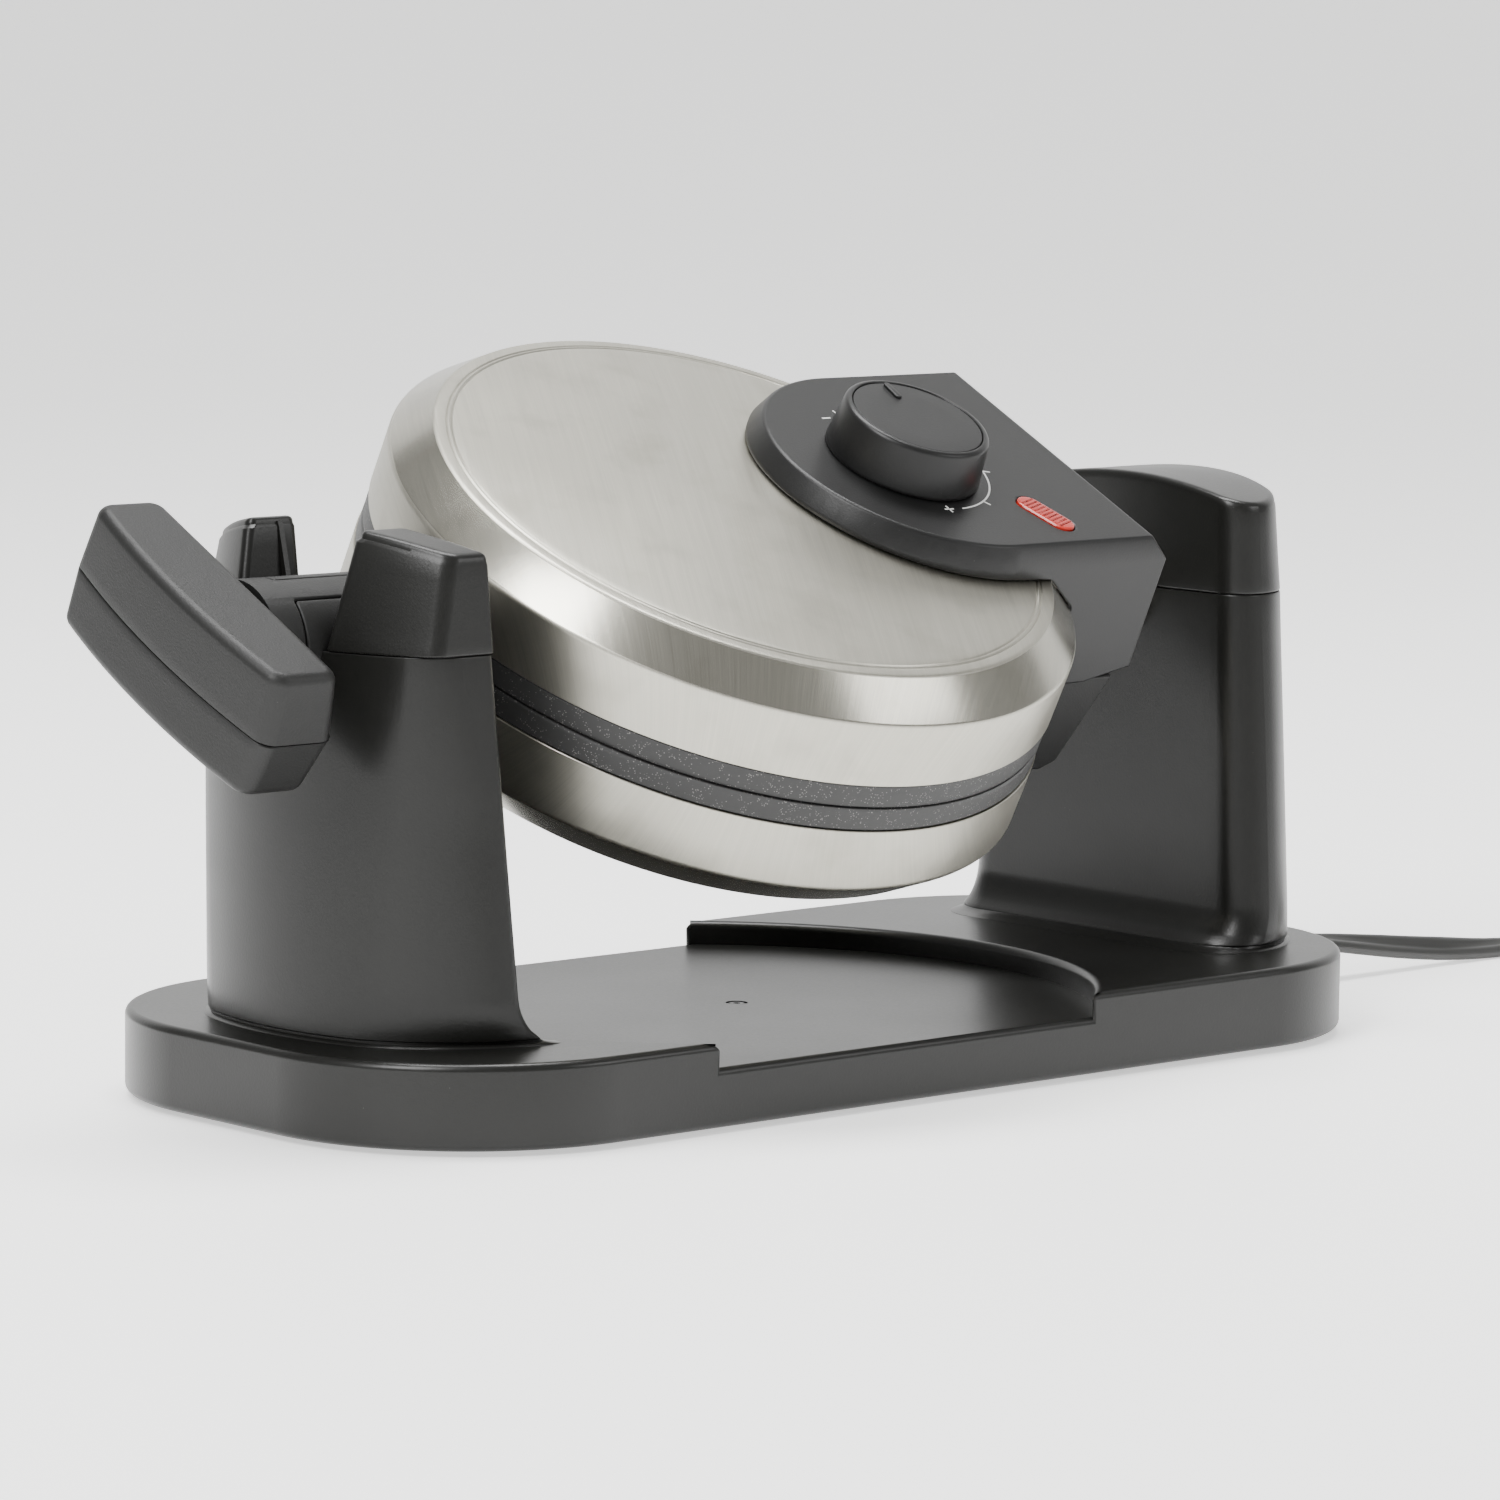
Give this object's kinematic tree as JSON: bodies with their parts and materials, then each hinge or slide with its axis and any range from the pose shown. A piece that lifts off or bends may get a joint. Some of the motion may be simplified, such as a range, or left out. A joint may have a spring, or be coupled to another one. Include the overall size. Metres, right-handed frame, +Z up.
{
  "type": "waffle maker",
  "caption": "Flip waffle maker: a round steel double-plate drum with a hinged lid turns between a front fork and a rear tower on a moulded base, with a dial, a lamp and a mains cord.",
  "frame": {"origin": "centre of the base on the table top", "axes": "+X towards the cord end along the base, -X the grip end, -Y the side that the drum's upper face leans to, +Z up"},
  "size_m": [0.661, 0.2058, 0.2039],
  "materials": {
    "charcoal": "satin moulded dark charcoal",
    "black": "fine matt texture, near black",
    "rubber": "matt soft rubber",
    "zinc": "zinc-plated steel",
    "brass": "turned",
    "bush": "natural acetal",
    "cord": "smooth flexible sheath",
    "plug": "moulded",
    "steel": "brushed, polished bevel",
    "plate": "cast, with a dark speckled non-stick coating",
    "heater": "oxidised steel sheath",
    "lens": "ribbed translucent red",
    "neon": "clear bulb"
  },
  "bodies": {
    "base": {"base_shell": "charcoal", "fork_tower": "charcoal", "rear_tower": "charcoal", "tower_screws": "zinc", "base_cover": "black", "feet": "rubber", "base_screws": "zinc", "fork_cap": "charcoal", "rear_cap": "charcoal", "cap_screws": "zinc", "bearing_bush": "bush", "detent_guide": "black", "detent_spring": "zinc", "terminal_block": "bush", "strain_relief": "rubber", "cord": "cord", "cord_coil": "cord", "cord_return": "cord", "plug": "plug", "plug_pins": "brass"},
    "detent": {"detent_plunger": "brass"},
    "drum": {"lower_cover": "steel", "lower_plate": "plate", "lower_heater": "heater", "lower_clamp": "zinc", "lower_housing": "black", "rear_shaft": "zinc", "index_disc": "black", "shaft_ring": "zinc", "lower_grip": "black", "grip_screws": "zinc"},
    "hinge": {"hinge_pin": "zinc"},
    "lid": {"upper_cover": "steel", "upper_plate": "plate", "upper_heater": "heater", "upper_clamp": "zinc", "control_housing": "black", "panel_screws": "zinc", "thermostat": "zinc", "lamp_lens": "lens", "neon_lamp": "neon", "upper_grip": "black"},
    "dial": {"spindle": "zinc", "knob": "black", "knob_cap": "black"}
  },
  "joints": [
    {"name": "drum_turn", "type": "hinge", "parent": "base", "child": "drum", "pos_m": [0, 0, 0.1298], "axis": [-1, 0, 0], "range_deg": [-153, 27]},
    {"name": "hinge_float", "type": "slide", "parent": "drum", "child": "hinge", "axis": [0, -0.454, 0.891], "range_m": [0, 0.004]},
    {"name": "lid_open", "type": "hinge", "parent": "hinge", "child": "lid", "pos_m": [0.095, -0.00681, 0.14317], "axis": [0, 0.891, 0.454], "range_deg": [0, 90]},
    {"name": "dial_turn", "type": "hinge", "parent": "lid", "child": "dial", "pos_m": [0.035, -0.02156, 0.17212], "axis": [0, -0.454, 0.891], "range_deg": [-180, 10]},
    {"name": "detent_press", "type": "slide", "parent": "base", "child": "detent", "axis": [0, 0, -1], "range_m": [0, 0.0025], "stiffness_N_per_m": 400, "springref_m": -0.003, "deforming": ["detent_spring"]}
  ]
}
